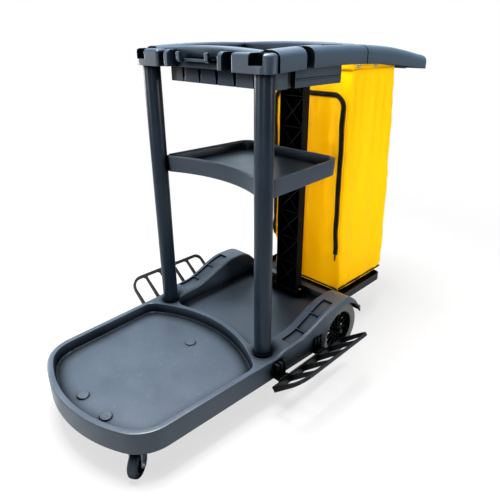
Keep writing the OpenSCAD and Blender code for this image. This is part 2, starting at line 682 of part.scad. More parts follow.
// Zip: up one side of the front panel, across the top and down the other
zip_w = 12;
zip_t = 1.5;
zip_r = 40;
zip_lean = 10;
zip_foot = bag_half;
zip_head = zip_foot - zip_lean;
zip_low = bag_z + 142;
zip_high = bag_top - 90;
zip_y = bag_y - fit - zip_t;
function zip_arch(e, low) = let (half = concat([[zip_foot - e, low]],
  arc([zip_head - zip_r, zip_high - zip_r], zip_r - e, 0, 90, 7)))
  concat(half, [for (i = [len(half) - 1:-1:0]) [-half[i][0], half[i][1]]]);
module bag_zip() place() color(black) translate([0, zip_y, 0]) along_y(zip_t) difference() {
  polygon(zip_arch(0, zip_low));
  polygon(zip_arch(zip_w, zip_low - 5));
}
slider_w = 9;
slider_h = 16;
module zip_slider() place() color(zinc)
  translate([zip_foot - (zip_w + slider_w) / 2, zip_y - fit - 4, zip_low + 4]) {
    cube([slider_w, 4, slider_h]);
    translate([(slider_w - 5) / 2, 1, -26]) difference() {
      cube([5, 2, 27]);
      translate([1.5, -1, 3]) cube([2, 4, 6]);
    }
  }

// ---- bag tray ----
bt_half = 203;
bt_front = base_rear + fit;
bt_inset = 6;
bt_rear = bag_y + bag_l - bt_inset;
bt_low = bag_z - 28;
bt_top = bag_z - 2;
bt_wall = 4;
function bt_outline(e) = box_pts(e - bt_half, bt_half - e, bt_front + e, bt_rear - e,
  [4 - e / 2, 4 - e / 2, 22 - e, 22 - e]);
module bag_tray() place() color(black) difference() {
  translate([0, 0, bt_low]) linear_extrude(bt_top - bt_low) polygon(bt_outline(0));
  translate([0, 0, bt_low + 8]) linear_extrude(bt_top - bt_low) polygon(bt_outline(bt_wall));
  translate([0, 0, bt_low - 1]) linear_extrude(6) polygon(bt_outline(bt_wall));
}
module tray_brackets() place() color(black) both_sides() translate([110, 0, 0]) along_x(26)
  polygon([[base_rear + fit, skirt_z + 2], [base_rear + fit, bt_low - snug], [bt_rear - 60, bt_low - snug],
    [bt_rear - 60, bt_low - 8]]);

// ---- rear wheels ----
wheel_x = base_half + 11 - 15 - tyre_w;
module wheel_place() translate([wheel_x, hub_y, wheel_r]) rotate([0, 90, 0]) children();
rim_r = wheel_r - tyre_t;
hub_r = axle_d / 2 + 5;
spoke_t = 2.2;
spoke_bend = 120;
module tyre() wheel_place() rotate_extrude($fn = 96) polygon([[rim_r, 3], [rim_r + 7, 0.5],
  [wheel_r - 12, 0], [wheel_r - 5, 2], [wheel_r - 1.2, 7], [wheel_r, 13], [wheel_r, tyre_w - 13],
  [wheel_r - 1.2, tyre_w - 7], [wheel_r - 5, tyre_w - 2], [wheel_r - 12, tyre_w],
  [rim_r + 7, tyre_w - 0.5], [rim_r, tyre_w - 3]]);
module spoke(bend) intersection() {
  translate([bend, 0]) difference() {
    circle(bend + spoke_t / 2, $fn = 96);
    circle(bend - spoke_t / 2, $fn = 96);
  }
  difference() {
    circle(rim_r - 3, $fn = 96);
    circle(hub_r - 3);
  }
  translate([-10, 0]) square([200, 200]);
}
module wheel_rim() wheel_place() difference() {
  union() {
    rotate_extrude($fn = 96) polygon([[rim_r, 3], [rim_r, tyre_w - 3], [rim_r - 3, tyre_w - 3],
      [rim_r - 5, tyre_w / 2 + 4], [rim_r - 5, tyre_w / 2 - 4], [rim_r - 3, 3]]);
    translate([0, 0, 1]) cylinder(r = hub_r, h = tyre_w - 2);
    translate([0, 0, tyre_w / 2 - 6]) linear_extrude(12) for (i = [0:spokes - 1])
      rotate([0, 0, i * 360 / spokes]) spoke(spoke_bend);
  }
  translate([0, 0, -1]) cylinder(d = axle_d + 2 * snug * 0.6, h = tyre_w + 2);
}
module tyre_left() place() color(tyre_grey) mirror([1, 0, 0]) tyre();
module tyre_right() place() color(tyre_grey) tyre();
module wheel_rim_left() place() color(black) mirror([1, 0, 0]) wheel_rim();
module wheel_rim_right() place() color(black) wheel_rim();
axle_end = wheel_x + tyre_w + 3;
module rear_axle() place() color(zinc) translate([-axle_end, hub_y, wheel_r]) rotate([0, 90, 0])
  cylinder(d = axle_d, h = 2 * axle_end);
module axle_caps() place() color(black) both_sides() translate([axle_end - 3 + fit, hub_y, wheel_r])
  rotate([0, 90, 0]) difference() {
    union() {
      cylinder(d = axle_d + 7, h = 2.5);
      cylinder(d = axle_d + 3, h = 6);
    }
    translate([0, 0, -1]) cylinder(d = axle_d, h = 4 - fit);
  }
module axle_brackets() place() color(black) both_sides() difference() {
  low = wheel_r - 16;
  translate([axle_block_x, hub_y - axle_block_l / 2, low])
    cube([axle_block_w, axle_block_l, tray_z - base_wall - low]);
  translate([axle_block_x - 5, hub_y, wheel_r]) rotate([0, 90, 0])
    cylinder(d = axle_d, h = axle_block_w + 10);
}

// ---- casters, drawn trailing along +X from the swivel axis ----
hub_gap = 0.05;
fork_top = skirt_z - 8;
plate_z = skirt_z - 1;
pin_d = 10;
caster_axle_d = 8;
module caster_place(side) translate([side * swivel_x, -swivel_y, 0])
  rotate([0, 0, trail_turn - 90]) children();
module caster_plate(side) caster_place(side) {
  difference() {
    translate([0, 0, plate_z]) cylinder(d = 60, h = 5);
    for (a = [45:90:315]) rotate([0, 0, a]) translate([23, 0, plate_z - 1]) cylinder(d = 6.2, h = 7);
  }
  translate([0, 0, fork_top + fit]) cylinder(d = 34, h = plate_z - fork_top - fit);
  translate([0, 0, fork_top - 9]) cylinder(d = pin_d, h = 10);
}
module caster_fork(side) caster_place(side) {
  leg_x = caster_w / 2 + 3;
  difference() {
    union() {
      translate([0, 0, fork_top - 6]) cylinder(d = 46, h = 6);
      translate([-16, -leg_x - 3, fork_top - 9]) cube([50, 2 * leg_x + 6, 4]);
    }
    translate([0, 0, fork_top - 12]) cylinder(d = pin_d + 2 * hub_gap, h = 20);
  }
  for (s = [-1, 1]) translate([0, s * (leg_x + 1.5) + 1.5, 0]) rotate([90, 0, 0]) linear_extrude(3)
    difference() {
      union() {
        polygon([[-16, fork_top - 6], [34, fork_top - 6], [caster_trail + 10, caster_d / 2 + 4],
          [caster_trail - 10, caster_d / 2 + 2]]);
        translate([caster_trail, caster_d / 2]) circle(11);
      }
      translate([caster_trail, caster_d / 2]) circle(d = caster_axle_d);
    }
}
module caster_axle(side) caster_place(side) translate([caster_trail, 0, caster_d / 2]) rotate([90, 0, 0]) {
  l = caster_w + 18;
  translate([0, 0, -l / 2]) cylinder(d = caster_axle_d, h = l);
  for (z = [-caster_w / 2 - 10, caster_w / 2 + 6]) translate([0, 0, z]) cylinder(r = 7, h = 4, $fn = 6);
}
module caster_spin_place(side) caster_place(side) translate([caster_trail, 0, caster_d / 2])
  rotate([90, 0, 0]) children();
module caster_hub(side) caster_spin_place(side) difference() {
  union() {
    translate([0, 0, -caster_w / 2 - 2]) cylinder(d = 20, h = caster_w + 4);
    translate([0, 0, -caster_w / 2]) cylinder(d = caster_d - 20, h = caster_w);
  }
  translate([0, 0, -caster_w]) cylinder(d = caster_axle_d + 2 * hub_gap, h = 2 * caster_w);
  for (s = [-1, 1]) translate([0, 0, s * caster_w / 2]) difference() {
    cylinder(d = caster_d - 28, h = 10, center = true);
    cylinder(d = 22, h = 12, center = true);
  }
}
module caster_tread(side) caster_spin_place(side) rotate_extrude($fn = 72) {
  r = caster_d / 2;
  h = caster_w / 2;
  polygon([[r - 10, -h], [r - 4, -h], [r - 1, -h + 3], [r, -h + 7], [r, h - 7], [r - 1, h - 3], [r - 4, h],
    [r - 10, h]]);
}
module caster_plate_left() place() color(zinc) caster_plate(-1);
module caster_plate_right() place() color(zinc) caster_plate(1);
module caster_fork_left() place() color(zinc) caster_fork(-1);
module caster_fork_right() place() color(zinc) caster_fork(1);
module caster_axle_left() place() color(zinc) caster_axle(-1);
module caster_axle_right() place() color(zinc) caster_axle(1);
module caster_hub_left() place() color(slate_dark) caster_hub(-1);
module caster_hub_right() place() color(slate_dark) caster_hub(1);
module caster_tread_left() place() color(black) caster_tread(-1);
module caster_tread_right() place() color(black) caster_tread(1);
module caster_bolts() place() color(zinc) for (side = [-1, 1]) caster_place(side) for (a = [45:90:315])
  rotate([0, 0, a]) translate([23, 0, plate_z]) rotate([180, 0, 0]) hex_bolt(5, 3.5, 4.8);

// ---- side racks, drawn with the hinge axis on Y and the rack reaching along +X ----
hinge_x = base_half + 25;
hinge_z = skirt_z + 6;
rod_d = 7;
rack_y = -50;
bracket_ys = [-7, 170];
bracket_w = 38;
lug_t = 6;
lugs = 3;
knuckle_gap = (bracket_w - lugs * lug_t) / (lugs - 1);
bar_w = 10;
rack_u = 10;
rack_above = 2;
module rack_place() translate([hinge_x, 0, hinge_z]) rotate([0, -rack_tilt, 0]) children();
module rack_frame() intersection() {
  pitch = (rack_l - slat_t) / (slats + 1);
  translate([0, 0, rack_above - rack_t]) linear_extrude(rack_t) difference() {
    polygon(box_pts(rack_u, rack_reach, rack_y, rack_y + rack_l, [3, 46, 26, 3]));
    // windows, rounded towards the outer bar so that the slats flare into it
    for (i = [0:slats]) let (y = rack_y + slat_t + i * pitch)
      polygon(box_pts(rack_u + bar_w, rack_reach - bar_w, y, y + pitch - slat_t,
        [2, i == 0 ? 39 : 9, i == slats ? 19 : 9, 2]));
  }
  // every bar thins towards the outer bar
  translate([0, rack_y - 1, 0]) along_y(rack_l + 2) polygon([[0, rack_above + 1], [0, rack_above - rack_t],
    [rack_reach + 1, rack_above - rack_tip_t], [rack_reach + 1, rack_above + 1]]);
}
module mop_rack() rack_place() {
  rack_frame();
  for (y = bracket_ys) for (i = [0, lugs - 2]) difference() {
    y0 = y + lug_t + fit + i * (lug_t + knuckle_gap);
    union() {
      translate([0, y0, 0]) rotate([-90, 0, 0]) cylinder(d = 15, h = knuckle_gap - 2 * fit);
      translate([0, y0, -6]) cube([rack_u + 2, knuckle_gap - 2 * fit, 8]);
    }
    translate([0, y0 - 1, 0]) rotate([-90, 0, 0]) cylinder(d = rod_d + 2 * hub_gap, h = knuckle_gap + 2);
  }
}
module mop_rack_left() place() color(black) mirror([1, 0, 0]) mop_rack();
module mop_rack_right() place() color(black) mop_rack();
module bracket() difference() {
  union() {
    translate([fender_in + 20, 0, skirt_z + 2]) cube([hinge_x - 11 - fender_in - 21, bracket_w, 48]);
    for (i = [0:lugs - 1]) translate([0, i * (lug_t + knuckle_gap), 0]) {
      translate([fender_in + 20, 0, skirt_z + 2]) cube([hinge_x - 10 - fender_in - 20, lug_t, 52]);
      translate([fender_in + 20, 0, hinge_z - 4]) cube([hinge_x - fender_in - 20, lug_t, 8]);
      translate([hinge_x, 0, hinge_z]) rotate([-90, 0, 0]) cylinder(d = 16, h = lug_t);
    }
  }
  translate([hinge_x, -1, hinge_z]) rotate([-90, 0, 0]) cylinder(d = rod_d, h = bracket_w + 2);
}
module rack_brackets() place() color(black) both_sides() difference() {
  for (y = bracket_ys) translate([0, y, 0]) bracket();
  translate([0, 0, skirt_z - 1]) linear_extrude(rim_z) polygon(base_outline(0, base_rear));
}
module hinge_rod() translate([hinge_x, bracket_ys[0] - 3, hinge_z]) rotate([-90, 0, 0])
  cylinder(d = rod_d, h = bracket_ys[1] + bracket_w - bracket_ys[0] + 6);
module hinge_rod_left() place() color(zinc) mirror([1, 0, 0]) hinge_rod();
module hinge_rod_right() place() color(zinc) hinge_rod();

base_platform();
floor_plugs();
front_post_left();
front_post_right();
post_collars();
rear_column();
column_foot();
column_bolts();
shelf_tray();
shelf_bracket();
front_beam();
side_rail_left();
side_rail_right();
rear_crossbar();
top_bin();
push_handle();
bag_hooks();
vinyl_bag();
bag_zip();
zip_slider();
bag_tray();
tray_brackets();
rear_axle();
axle_brackets();
axle_caps();
wheel_rim_left();
wheel_rim_right();
tyre_left();
tyre_right();
caster_plate_left();
caster_plate_right();
caster_bolts();
caster_fork_left();
caster_fork_right();
caster_axle_left();
caster_axle_right();
caster_hub_left();
caster_hub_right();
caster_tread_left();
caster_tread_right();
mop_rack_left();
mop_rack_right();
rack_brackets();
hinge_rod_left();
hinge_rod_right();
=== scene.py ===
"""Looks of the housekeeping cart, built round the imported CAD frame."""
import json
import math

import bmesh
import bpy
import numpy as np
from mathutils import Matrix, Vector, noise
from mathutils.bvhtree import BVHTree

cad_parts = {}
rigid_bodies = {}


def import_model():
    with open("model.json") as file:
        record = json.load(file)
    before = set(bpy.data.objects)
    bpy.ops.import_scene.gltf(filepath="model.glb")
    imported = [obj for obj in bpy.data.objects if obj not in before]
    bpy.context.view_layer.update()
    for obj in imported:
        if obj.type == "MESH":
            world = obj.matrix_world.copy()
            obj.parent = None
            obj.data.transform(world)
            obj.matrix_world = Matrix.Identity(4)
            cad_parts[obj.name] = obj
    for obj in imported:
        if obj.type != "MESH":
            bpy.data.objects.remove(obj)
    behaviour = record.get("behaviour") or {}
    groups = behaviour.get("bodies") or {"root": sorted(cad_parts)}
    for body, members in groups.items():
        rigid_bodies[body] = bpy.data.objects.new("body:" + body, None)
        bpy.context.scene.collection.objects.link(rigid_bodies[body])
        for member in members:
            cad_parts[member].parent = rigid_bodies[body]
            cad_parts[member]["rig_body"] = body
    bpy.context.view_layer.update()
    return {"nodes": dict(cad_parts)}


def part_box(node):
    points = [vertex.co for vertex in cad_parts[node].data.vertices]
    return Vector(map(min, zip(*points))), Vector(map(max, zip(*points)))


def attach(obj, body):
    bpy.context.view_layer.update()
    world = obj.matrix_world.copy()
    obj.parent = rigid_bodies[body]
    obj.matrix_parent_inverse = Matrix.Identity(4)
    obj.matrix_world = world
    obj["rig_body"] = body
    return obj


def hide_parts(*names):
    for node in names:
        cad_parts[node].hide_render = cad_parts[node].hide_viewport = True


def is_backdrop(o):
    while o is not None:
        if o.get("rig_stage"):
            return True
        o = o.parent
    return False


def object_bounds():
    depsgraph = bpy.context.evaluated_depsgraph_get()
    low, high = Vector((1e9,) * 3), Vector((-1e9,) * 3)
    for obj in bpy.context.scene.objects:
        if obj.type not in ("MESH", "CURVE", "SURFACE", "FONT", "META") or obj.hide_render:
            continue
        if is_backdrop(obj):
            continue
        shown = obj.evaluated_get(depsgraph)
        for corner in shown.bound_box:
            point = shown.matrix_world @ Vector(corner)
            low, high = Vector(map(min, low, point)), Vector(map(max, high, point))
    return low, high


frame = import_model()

# --- View -------------------------------------------------------------------------------------
# The viewer stands off the cart's front right corner, a little above its handle, and looks down
# along it towards the bag.
camera = bpy.data.objects.new("camera", bpy.data.cameras.new("camera"))
camera.data.sensor_width = 36
camera.data.lens = 34.4
camera.data.shift_x = -0.00904
camera.data.shift_y = -0.00383
camera.location = (1.01036, -0.96688, 1.030)
camera.rotation_euler = (math.radians(90 - 24.476), 0, math.radians(44.056))
bpy.context.collection.objects.link(camera)
bpy.context.scene.camera = camera
bpy.context.scene.view_settings.view_transform = "Standard"


# --- Studio -----------------------------------------------------------------------------------
# A white sweep under two softboxes overhead, with weak ones all round at the cart's own height.
# Away from the cart the sweep fades to plain white.
def linear(code, alpha=1.0):
    """The linear colour of an sRGB hex value."""
    channels = [int(code[i:i + 2], 16) / 255 for i in (1, 3, 5)]
    return [c / 12.92 if c <= 0.04045 else ((c + 0.055) / 1.055) ** 2.4 for c in channels] + [alpha]


def add(tree, kind, inputs=(), **settings):
    """Adds one node. An input is a value, or another node's output to link."""
    node = tree.nodes.new(kind)
    for name, value in settings.items():
        setattr(node, name, value)
    for name, value in dict(inputs).items():
        if isinstance(value, bpy.types.NodeSocket):
            tree.links.new(value, node.inputs[name])
        else:
            node.inputs[name].default_value = value
    return node


def empty_material(name):
    material = bpy.data.materials.new(name)
    material.use_nodes = True
    material.node_tree.nodes.clear()
    return material


SWEEP_RADIUS = 14
SHADOW_NEAR, SHADOW_FAR = 1.0, 2.4
sweep_mesh = bpy.data.meshes.new("sweep")
sweep = bpy.data.objects.new("sweep", sweep_mesh)
bpy.context.collection.objects.link(sweep)
disc = bmesh.new()
bmesh.ops.create_circle(disc, cap_ends=True, segments=64, radius=SWEEP_RADIUS)
disc.to_mesh(sweep_mesh)
disc.free()
sweep_paper = empty_material("white_paper_sweep")
tree = sweep_paper.node_tree
place = add(tree, "ShaderNodeTexCoord").outputs["Object"]
distance = add(tree, "ShaderNodeVectorMath", {0: place}, operation="LENGTH").outputs["Value"]
far = add(tree, "ShaderNodeMapRange", {"Value": distance, "From Min": SHADOW_NEAR,
                                       "From Max": SHADOW_FAR},
          interpolation_type="SMOOTHERSTEP").outputs["Result"]
path = add(tree, "ShaderNodeLightPath").outputs
seen = path["Is Camera Ray"]
near = add(tree, "ShaderNodeMapRange", {"Value": far, "To Min": 0.68, "To Max": 1.0}).outputs[0]
white = add(tree, "ShaderNodeMath", {0: seen, 1: near}, operation="MULTIPLY").outputs[0]
bounce = add(tree, "ShaderNodeMix", {"Factor": seen, "A": linear("#a2a8ac"),
                                     "B": linear("#b4b4b4")}, data_type="RGBA").outputs["Result"]
paper = add(tree, "ShaderNodeBsdfDiffuse", {"Color": bounce}).outputs[0]
glow = add(tree, "ShaderNodeEmission", {"Color": linear("#ffffff"), "Strength": 1.0}).outputs[0]
mix = add(tree, "ShaderNodeMixShader", {0: white, 1: paper, 2: glow})
add(tree, "ShaderNodeOutputMaterial", {"Surface": mix.outputs[0]})
sweep_mesh.materials.append(sweep_paper)
sweep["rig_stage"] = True

# glossy surfaces reflect the dome as a pale sky, and it lights nothing else
REFLECTED = 1.2
world = bpy.data.worlds.new("studio")
world.use_nodes = True
bpy.context.scene.world = world
tree = world.node_tree
tree.nodes.clear()
path = add(tree, "ShaderNodeLightPath").outputs
through = add(tree, "ShaderNodeMath", {0: path["Is Camera Ray"], 1: path["Is Transmission Ray"]},
              operation="MAXIMUM").outputs[0]
lit = add(tree, "ShaderNodeMath", {0: path["Is Glossy Ray"], 1: REFLECTED},
          operation="MULTIPLY").outputs[0]
cool = add(tree, "ShaderNodeBackground", {"Color": linear("#bfe3fb"), "Strength": lit}).outputs[0]
plain = add(tree, "ShaderNodeBackground", {"Color": linear("#ffffff")}).outputs[0]
sky = add(tree, "ShaderNodeMixShader", {0: through, 1: cool, 2: plain})
add(tree, "ShaderNodeOutputWorld", {"Surface": sky.outputs[0]})


def softbox(name, position, target, size, watts, spread=180):
    """A square lamp that points at a target. A grid narrows its spread, in degrees."""
    lamp = bpy.data.objects.new(name, bpy.data.lights.new(name, "AREA"))
    lamp.data.shape = "SQUARE"
    lamp.data.size = size
    lamp.data.energy = watts
    lamp.data.spread = math.radians(spread)
    lamp.location = position
    lamp.rotation_euler = (Vector(target) - Vector(position)).to_track_quat("-Z", "Y").to_euler()
    bpy.context.collection.objects.link(lamp)


softbox("overhead_softbox", (0, -0.3, 3.2), (0, -0.1, 0.4), 1.2, 250)
softbox("wide_softbox", (0, 0, 3.0), (0, 0, 0.3), 3.0, 90)
softbox("left_softbox", (-2.9, -0.6, 1.0), (0, 0, 0.5), 0.8, 44)
softbox("front_softbox", (-1.3, -3.0, 0.9), (0, 0, 0.5), 0.8, 26)
softbox("rear_softbox", (-2.5, 2.6, 1.5), (0, 0.1, 0.9), 1.2, 5)
# two with grids pick out the bag
softbox("right_softbox", (2.6, 1.4, 0.9), (0.14, 0.47, 0.50), 0.5, 2.4, 40)
softbox("viewer_softbox", (1.8, -2.4, 1.3), (0.05, 0.33, 0.45), 0.5, 1.3, 30)


# --- Slate mouldings --------------------------------------------------------------------------
# Platform, shelf, posts and top frame are injection moulded polypropylene, dyed slate grey. The
# mould is spark eroded, so the skin has a fine grain that spreads every highlight.
def joined_copy(node, name, material):
    """A copy of one CAD node with its triangles joined and its curves smooth."""
    crease = math.radians(32)
    source = frame["nodes"][node]
    shell = bmesh.new()
    shell.from_mesh(source.data)
    bmesh.ops.remove_doubles(shell, verts=shell.verts, dist=1e-5)
    for face in shell.faces:
        face.smooth = True
    for edge in shell.edges:
        edge.smooth = edge.calc_face_angle(math.pi) < crease
    mesh = bpy.data.meshes.new(name)
    shell.to_mesh(mesh)
    shell.free()
    mesh.materials.append(material)
    piece = bpy.data.objects.new(name, mesh)
    bpy.context.collection.objects.link(piece)
    even = piece.modifiers.new("even shading", "WEIGHTED_NORMAL")
    even.keep_sharp = True
    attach(piece, source["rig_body"])
    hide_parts(node)
    return piece


def moulding_material(name, colour, rubbed, roughness, gloss, grain_mm, edge_mm, dust_and_top_light):
    """Moulded plastic: grained skin, uneven sheen, paler rubbed edges, dust on top under a painted
    lighter film, painted shade in corners.
    """
    material = empty_material(name)
    tree = material.node_tree
    place = add(tree, "ShaderNodeTexCoord").outputs["Object"]
    # flow marks of the melt, some 90 mm across
    flow = add(tree, "ShaderNodeTexNoise",
               {"Vector": place, "Scale": 11, "Detail": 3, "Roughness": 0.55}).outputs["Fac"]
    shade = add(tree, "ShaderNodeMapRange", {"Value": flow, "From Min": 0.3, "From Max": 0.7,
                                             "To Min": 0.88, "To Max": 1.12}).outputs[0]
    body = add(tree, "ShaderNodeVectorMath", {0: linear(colour)[:3], "Scale": shade},
               operation="SCALE").outputs[0]
    # the rounded normal leaves the true one only beside an edge, where hands and boxes rub
    surface = add(tree, "ShaderNodeNewGeometry").outputs
    rounded = add(tree, "ShaderNodeBevel", {"Radius": edge_mm / 1000}, samples=6).outputs[0]
    bend = add(tree, "ShaderNodeVectorMath", {0: rounded, 1: surface["Normal"]},
               operation="DOT_PRODUCT").outputs["Value"]
    edge = add(tree, "ShaderNodeMapRange", {"Value": bend, "From Min": 0.985, "From Max": 0.75,
                                            "To Max": 0.55}).outputs[0]
    patchy = add(tree, "ShaderNodeTexNoise", {"Vector": place, "Scale": 45, "Detail": 2}).outputs["Fac"]
    wear = add(tree, "ShaderNodeMath", {0: edge, 1: patchy}, operation="MULTIPLY").outputs[0]
    skin = add(tree, "ShaderNodeMix", {"Factor": wear, "A": body, "B": linear(rubbed)},
               data_type="RGBA")
    # on faces that look up: real dust specks of 2 to 4 mm, and a paler film that is painted light, for
    # the light that falls on top faces
    level = add(tree, "ShaderNodeSeparateXYZ", {0: surface["Normal"]}).outputs["Z"]
    up = add(tree, "ShaderNodeMapRange", {"Value": level, "From Min": 0.85, "From Max": 0.98,
                                          "To Max": dust_and_top_light}).outputs[0]
    speck = add(tree, "ShaderNodeTexNoise", {"Vector": place, "Scale": 210, "Detail": 2,
                                             "Roughness": 0.6}).outputs["Fac"]
    specks_and_top_film = add(tree, "ShaderNodeMapRange", {"Value": speck, "From Min": 0.66, "From Max": 0.76,
                                              "To Min": 0.24}).outputs[0]
    dust_and_top_light_mask = add(tree, "ShaderNodeMath", {0: up, 1: specks_and_top_film}, operation="MULTIPLY").outputs[0]
    outside = add(tree, "ShaderNodeMix", {"Factor": dust_and_top_light_mask, "A": skin.outputs["Result"],
                                          "B": linear("#aab2bc")}, data_type="RGBA")
    sheen = add(tree, "ShaderNodeMapRange", {"Value": flow, "From Min": 0.3, "From Max": 0.7,
                                             "To Min": roughness - 0.05,
                                             "To Max": roughness + 0.06}).outputs[0]
    # painted shade: colour and reflections are drawn darker in corners and recesses up to 50 mm deep
    ao_openness = add(tree, "ShaderNodeAmbientOcclusion", {"Distance": 0.05}, samples=8).outputs["AO"]
    painted_corner_shade = add(tree, "ShaderNodeMapRange", {"Value": ao_openness, "From Min": 0.68, "From Max": 0.93,
                                             "To Min": 0.06}).outputs[0]
    shaded_skin_colour = add(tree, "ShaderNodeVectorMath", {0: outside.outputs["Result"], "Scale": painted_corner_shade},
                      operation="SCALE").outputs[0]
    shaded_gloss = add(tree, "ShaderNodeMath", {0: painted_corner_shade, 1: gloss}, operation="MULTIPLY").outputs[0]
    # spark-eroded grain of grain_mm; the real one is well under a millimetre, too fine to show
    grain = add(tree, "ShaderNodeTexNoise", {"Vector": place, "Scale": 1000 / grain_mm,
                                             "Detail": 1}).outputs["Fac"]
    bump = add(tree, "ShaderNodeBump", {"Height": grain, "Normal": rounded, "Strength": 0.25,
                                        "Distance": 0.0004}).outputs[0]
    plastic = add(tree, "ShaderNodeBsdfPrincipled",
                  {"Base Color": shaded_skin_colour, "Roughness": sheen, "IOR": 1.49,
                   "Specular IOR Level": shaded_gloss, "Normal": bump}).outputs[0]
    add(tree, "ShaderNodeOutputMaterial", {"Surface": plastic})
    return material


# grained polypropylene, slate grey: soft wide highlights, bluish where it faces the sky, with a painted
# paler film on top
slate_polypropylene = moulding_material("slate_polypropylene", "#1f2a37", rubbed="#667486",
                                        roughness=0.38, gloss=0.5, grain_mm=2.4, edge_mm=2.2,
                                        dust_and_top_light=0.25)
joined_copy("base_platform", "platform", slate_polypropylene)
joined_copy("floor_plugs", "platform_plugs", slate_polypropylene)

# --- Posts and collars ------------------------------------------------------------------------
# Two extruded tubes stand in sockets in the platform. The die leaves them smoother than the
# mouldings, and a black push-on collar hides each joint.

# extruded polypropylene, drawn darker than the mouldings, which is painted shade: a narrow highlight runs
# down each tube, and no dust stays
shaded_slate_tube = moulding_material("shaded_slate_extrusion", "#0a1824", rubbed="#41505e", roughness=0.34,
                               gloss=0.3, grain_mm=1.8, edge_mm=1.0, dust_and_top_light=0)
# carbon-filled polypropylene, moulded: a near black that only shows its shape at the edges
black_polypropylene = moulding_material("black_polypropylene", "#040405", rubbed="#131518",
                                        roughness=0.42, gloss=0.2, grain_mm=2.2, edge_mm=1.4,
                                        dust_and_top_light=0.2)
for side in ("left", "right"):
    joined_copy("front_post_" + side, "post_" + side, shaded_slate_tube)
joined_copy("post_collars", "collars", black_polypropylene)

# --- Rear column ------------------------------------------------------------------------------
# A deep black channel with crossed braces, open to the front, stands behind the shelf and helps
# the posts to carry it. Two zinc-plated bolts hold its foot block to the platform.

# the same plastic from a blasted mould, matt, and drawn blacker than the other black parts: painted
# shade, so the braces barely show in the channel
shaded_column_plastic = moulding_material("shaded_matt_black_polypropylene", "#020203", rubbed="#08090a",
                                   roughness=0.6, gloss=0.08, grain_mm=2.2, edge_mm=1.4, dust_and_top_light=0)
joined_copy("rear_column", "column", shaded_column_plastic)
joined_copy("column_foot", "column_shoe", shaded_column_plastic)


def plated_material(name, dull, bright):
    """Plated steel: slightly cloudy metal with soft highlights."""
    material = empty_material(name)
    tree = material.node_tree
    place = add(tree, "ShaderNodeTexCoord").outputs["Object"]
    cloud = add(tree, "ShaderNodeTexNoise", {"Vector": place, "Scale": 160, "Detail": 3}).outputs["Fac"]
    colour = add(tree, "ShaderNodeMix", {"Factor": cloud, "A": linear(dull), "B": linear(bright)},
                 data_type="RGBA")
    rough = add(tree, "ShaderNodeMapRange", {"Value": cloud, "To Min": 0.22, "To Max": 0.46}).outputs[0]
    rounded = add(tree, "ShaderNodeBevel", {"Radius": 0.0006}, samples=6).outputs[0]
    metal = add(tree, "ShaderNodeBsdfPrincipled", {"Base Color": colour.outputs["Result"],
                "Metallic": 1.0, "Roughness": rough, "Normal": rounded}).outputs[0]
    add(tree, "ShaderNodeOutputMaterial", {"Surface": metal})
    return material


# bright zinc: cool grey metal
zinc_plate = plated_material("zinc_plated_steel", "#8f9294", "#c3c5c5")
joined_copy("column_bolts", "shoe_bolts", zinc_plate)

# --- Shelf ------------------------------------------------------------------------------------
# One slate moulding with a raised rim, notched round the posts. A gusseted black bracket on the
# column carries its rear edge.
joined_copy("shelf_tray", "shelf", slate_polypropylene)
joined_copy("shelf_bracket", "shelf_support", black_polypropylene)

# --- Top frame --------------------------------------------------------------------------------
# Front beam, two side rails and a crossbar make a ring that carries the bin and, at the rear, the
# push handle. All are slate mouldings, open below.
for node, name in (("front_beam", "beam"), ("side_rail_left", "rail_left"),
                   ("side_rail_right", "rail_right"), ("rear_crossbar", "crossbar"),
                   ("top_bin", "bin")):
    joined_copy(node, name, slate_polypropylene)
handle = joined_copy("push_handle", "handle", slate_polypropylene)
# the handle stops just short of the rails, so its joints show as dark lines
SEAM = 0.004
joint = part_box("push_handle")[0].y
for vertex in handle.data.vertices:
    if vertex.co.y < joint + 0.0002:
        vertex.co.y += SEAM

# --- Rear wheels ------------------------------------------------------------------------------
# Each black moulded rim has bent spokes and a solid grey tyre. Both turn on one plated axle in
# blocks under the platform, and push-on caps close its ends.
def tyre_material():
    """Grey thermoplastic rubber: matt and finely pored, with paler scuffs about 20 mm across."""
    material = empty_material("grey_tyre_rubber")
    tree = material.node_tree
    place = add(tree, "ShaderNodeTexCoord").outputs["Object"]
    scuff = add(tree, "ShaderNodeTexNoise", {"Vector": place, "Scale": 55, "Detail": 5,
                                             "Roughness": 0.7}).outputs["Fac"]
    colour = add(tree, "ShaderNodeMix", {"Factor": scuff, "A": linear("#454442"),
                                         "B": linear("#6a6864")}, data_type="RGBA")
    pore = add(tree, "ShaderNodeTexNoise", {"Vector": place, "Scale": 700}).outputs["Fac"]
    bump = add(tree, "ShaderNodeBump", {"Height": pore, "Strength": 0.3, "Distance": 0.0004}).outputs[0]
    rubber = add(tree, "ShaderNodeBsdfPrincipled", {"Base Color": colour.outputs["Result"],
                 "Roughness": 0.68, "IOR": 1.52, "Normal": bump}).outputs[0]
    add(tree, "ShaderNodeOutputMaterial", {"Surface": rubber})
    return material


tyre_rubber = tyre_material()
for side in ("left", "right"):
    joined_copy("tyre_" + side, "wheel_tyre_" + side, tyre_rubber)
    joined_copy("wheel_rim_" + side, "spoked_rim_" + side, black_polypropylene)
joined_copy("rear_axle", "axle", zinc_plate)
joined_copy("axle_brackets", "axle_blocks", black_polypropylene)
joined_copy("axle_caps", "axle_end_caps", black_polypropylene)

# --- Casters ----------------------------------------------------------------------------------
# Each caster is a pressed and plated fork that swivels under a bolted plate. Its wheel has a
# moulded hub in a blue-black rubber tread.

# moulded nylon, dark slate: smoother than the platform, so its highlights are tighter
hub_nylon = moulding_material("caster_hub_nylon", "#252c36", rubbed="#65707c", roughness=0.35,
                              gloss=0.4, grain_mm=1.5, edge_mm=0.8, dust_and_top_light=0)
